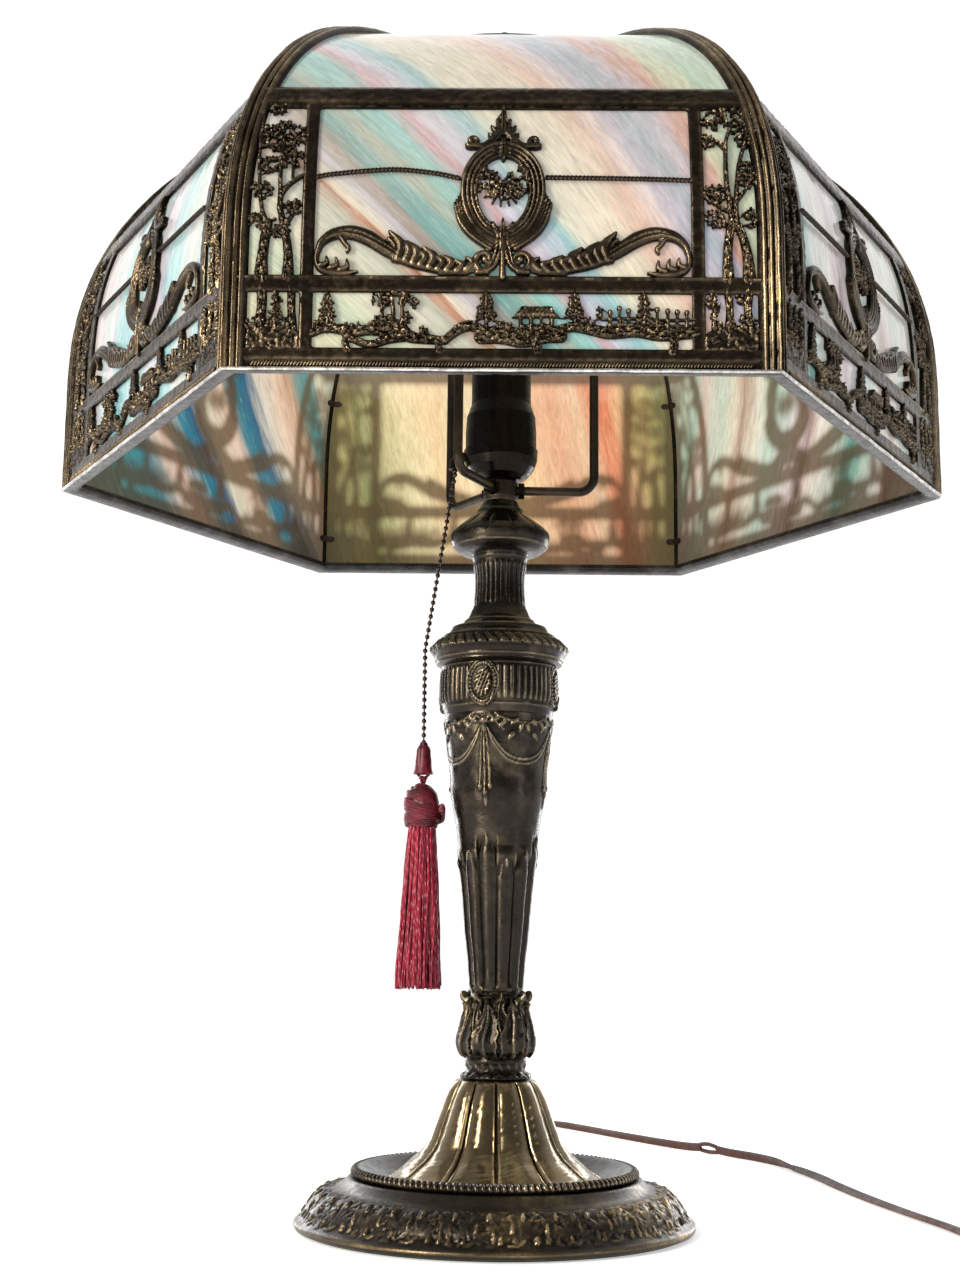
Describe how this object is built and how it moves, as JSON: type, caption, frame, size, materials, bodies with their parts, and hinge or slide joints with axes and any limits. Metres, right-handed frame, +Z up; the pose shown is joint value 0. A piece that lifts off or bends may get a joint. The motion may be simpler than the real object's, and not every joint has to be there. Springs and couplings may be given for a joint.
{
  "type": "table lamp",
  "caption": "Slag glass table lamp with a bent panel shade under cast openwork, an arm spider, pull chain with tassel, and a cast baluster base.",
  "frame": {"origin": "middle of the base on the table", "axes": "+Z up along the column, -Y towards the front panel, shade corners on +X and -X"},
  "size_m": [0.5006, 0.6614, 0.59],
  "materials": {
    "bronze": "dark antique bronze patina on cast white metal, dull, rubbed lighter on the high points",
    "gilt": "antique gold worn through dark patina",
    "openwork": "dark bronze patina with gold on the raised edges",
    "white_metal": "dull silvery solder and lead-tin metal",
    "steel": "plain threaded steel",
    "brass": "aged dark brass",
    "chain_metal": "darkened bead chain",
    "paper": "fibre sleeve",
    "phenolic": "dark moulded plastic",
    "cord_cover": "brown flat two-wire cord, satin",
    "tassel_silk": "crimson silk thread",
    "bulb": "frosted, lit",
    "slag_glass": "streaky opalescent slag glass in cream, mint, pink and peach",
    "felt": "dark green felt"
  },
  "bodies": {
    "lamp": {"felt_pad": "felt", "base_casting": "bronze", "saucer_casting": "bronze", "petal_bell": "gilt", "leaf_collar": "bronze", "acanthus_knop": "bronze", "fluted_shaft": "bronze", "urn_band": "bronze", "urn_shoulder": "bronze", "neck_casting": "bronze", "mushroom_cap": "bronze", "lamp_pipe": "steel", "pipe_washer": "steel", "pipe_nut": "steel", "cord_bushing": "phenolic", "inner_lead": "cord_cover", "arm_hub": "bronze", "arm_right": "bronze", "arm_rear": "bronze", "arm_front": "bronze", "arm_nuts": "brass", "top_spider": "steel", "top_stud": "steel", "socket_cap": "brass", "socket_shell": "brass", "socket_insulator": "paper", "socket_core": "phenolic", "socket_thread": "brass", "chain_guide": "brass", "cord_tube": "cord_cover", "cord_coil": "cord_cover", "plug": "phenolic"},
    "pull_link": {"pull_link": "chain_metal"},
    "chain": {"bead_chain": "chain_metal"},
    "tassel": {"chain_bell": "gilt", "tassel_loop": "tassel_silk", "tassel_head": "tassel_silk", "tassel_skirt": "tassel_silk"},
    "bulb_contact": {"bulb_contact": "steel"},
    "bulb": {"bulb_base": "brass", "bulb_glass": "bulb"},
    "cap": {"vent_cap": "bronze"},
    "finial_sleeve": {"finial_insert": "brass"},
    "finial": {"finial": "gilt"},
    "shade": {"crown_ring": "bronze", "rim_channel": "white_metal", "corner_posts": "openwork", "glass_clips": "white_metal", "glass_1": "slag_glass", "glass_2": "slag_glass", "glass_3": "slag_glass", "glass_4": "slag_glass", "glass_5": "slag_glass", "glass_6": "slag_glass", "overlay_1": "openwork", "overlay_2": "openwork", "overlay_3": "openwork", "overlay_4": "openwork", "overlay_5": "openwork", "overlay_6": "openwork"}
  },
  "joints": [
    {"name": "shade_lift", "type": "slide", "parent": "lamp", "child": "cap", "axis": [0, 0, 1], "range_m": [0, 0.06]},
    {"name": "shade_turn", "type": "hinge", "parent": "cap", "child": "shade", "pos_m": [0, 0, 0.54], "axis": [0, 0, 1], "continuous": true},
    {"name": "finial_rise", "type": "slide", "parent": "cap", "child": "finial_sleeve", "axis": [0, 0, 1], "range_m": [0, 0.0114]},
    {"name": "finial_turn", "type": "hinge", "parent": "finial_sleeve", "child": "finial", "pos_m": [0, 0, 0.57], "axis": [0, 0, 1], "range_deg": [0, 4380]},
    {"name": "bulb_rise", "type": "slide", "parent": "lamp", "child": "bulb_contact", "axis": [0, 0, 1], "range_m": [0, 0.0146]},
    {"name": "bulb_turn", "type": "hinge", "parent": "bulb_contact", "child": "bulb", "pos_m": [0, 0, 0.41], "axis": [0, 0, 1], "range_deg": [0, 1440]},
    {"name": "chain_pull", "type": "slide", "parent": "lamp", "child": "pull_link", "axis": [0, 0, -1], "range_m": [0, 0.008], "stiffness_N_per_m": 900},
    {"name": "chain_swing", "type": "hinge", "parent": "pull_link", "child": "chain", "pos_m": [-0.0225, 0, 0.355], "axis": [1, 0, 0], "range_deg": [-12, 12]},
    {"name": "tassel_swing", "type": "hinge", "parent": "chain", "child": "tassel", "pos_m": [-0.0358, 0, 0.2226], "axis": [0, 1, 0], "range_deg": [-4, 25]}
  ],
  "couplings": [
    {"joint": "finial_turn", "follows": "finial_rise", "rad_per_m": 6684.2},
    {"joint": "bulb_rise", "follows": "bulb_turn", "m_per_rad": 0.00057773}
  ]
}
